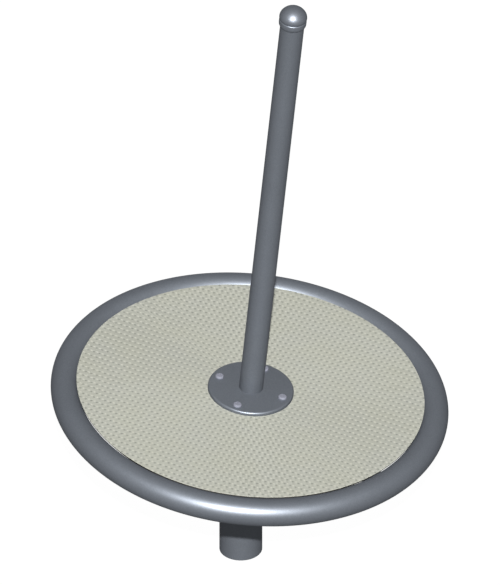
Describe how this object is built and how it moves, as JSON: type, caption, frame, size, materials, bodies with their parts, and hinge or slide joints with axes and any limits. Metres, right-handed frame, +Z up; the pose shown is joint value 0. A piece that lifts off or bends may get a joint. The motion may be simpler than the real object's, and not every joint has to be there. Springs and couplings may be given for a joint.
{
  "type": "merry-go-round",
  "caption": "Stand-up playground spinner: a round deck in a tube rim turns on a leaning axis over a ground post, with a centre pole to hold.",
  "frame": {"origin": "centre of the post's foot, at ground level", "axes": "+Z up along the post; +X the way the turning axis and the pole lean; +Y completes it"},
  "size_m": [0.9956, 0.9998, 1.6795],
  "materials": {
    "powder_coated_steel": "satin blue-grey powder coat",
    "deck_laminate": "matt anti-slip laminate with low studs",
    "stainless_steel": "plain stainless",
    "turned_steel": "turned, zinc plated",
    "bearing_steel": "ground",
    "cage_polyamide": "moulded",
    "seal_rubber": "moulded",
    "insert_brass": "turned"
  },
  "bodies": {
    "post": {"ground_post": "powder_coated_steel", "post_head": "powder_coated_steel", "spindle": "turned_steel", "lower_bearing_inner_ring": "bearing_steel", "upper_bearing_inner_ring": "bearing_steel", "bearing_spacer_tube": "turned_steel", "spindle_washer": "turned_steel", "spindle_lock_nut": "turned_steel"},
    "platform": {"hub_housing": "powder_coated_steel", "hub_seal": "seal_rubber", "lower_bearing_outer_ring": "bearing_steel", "upper_bearing_outer_ring": "bearing_steel", "lower_bearing_seals": "seal_rubber", "upper_bearing_seals": "seal_rubber", "hub_plate": "powder_coated_steel", "arm_1": "powder_coated_steel", "arm_2": "powder_coated_steel", "arm_3": "powder_coated_steel", "arm_4": "powder_coated_steel", "arm_5": "powder_coated_steel", "arm_6": "powder_coated_steel", "arm_7": "powder_coated_steel", "arm_8": "powder_coated_steel", "rim_half_rear": "powder_coated_steel", "rim_half_front": "powder_coated_steel", "deck_lug_1": "powder_coated_steel", "deck_lug_2": "powder_coated_steel", "deck_lug_3": "powder_coated_steel", "deck_lug_4": "powder_coated_steel", "deck_lug_5": "powder_coated_steel", "deck_lug_6": "powder_coated_steel", "deck_lug_7": "powder_coated_steel", "deck_lug_8": "powder_coated_steel", "deck_panel": "deck_laminate", "deck_spacer_sleeves": "turned_steel", "deck_inserts": "insert_brass", "deck_screws": "stainless_steel", "deck_screw_washers": "stainless_steel", "mast_flange": "powder_coated_steel", "mast_tube": "powder_coated_steel", "mast_collar": "powder_coated_steel", "mast_cap": "powder_coated_steel", "flange_bolts": "stainless_steel", "flange_washers": "stainless_steel", "flange_nuts": "stainless_steel"},
    "lower_ball_set": {"lower_bearing_balls": "bearing_steel", "lower_bearing_cage": "cage_polyamide"},
    "upper_ball_set": {"upper_bearing_balls": "bearing_steel", "upper_bearing_cage": "cage_polyamide"}
  },
  "joints": [
    {"name": "disc_spin", "type": "hinge", "parent": "post", "child": "platform", "pos_m": [0, 0, 0.222], "axis": [0.0958, 0, 0.9954], "continuous": true},
    {"name": "lower_cage_spin", "type": "hinge", "parent": "post", "child": "lower_ball_set", "pos_m": [0, 0, 0.222], "axis": [0.0958, 0, 0.9954], "continuous": true},
    {"name": "upper_cage_spin", "type": "hinge", "parent": "post", "child": "upper_ball_set", "pos_m": [0, 0, 0.222], "axis": [0.0958, 0, 0.9954], "continuous": true}
  ],
  "couplings": [
    {"joint": "lower_cage_spin", "follows": "disc_spin", "ratio": 0.59071},
    {"joint": "upper_cage_spin", "follows": "disc_spin", "ratio": 0.59071}
  ]
}
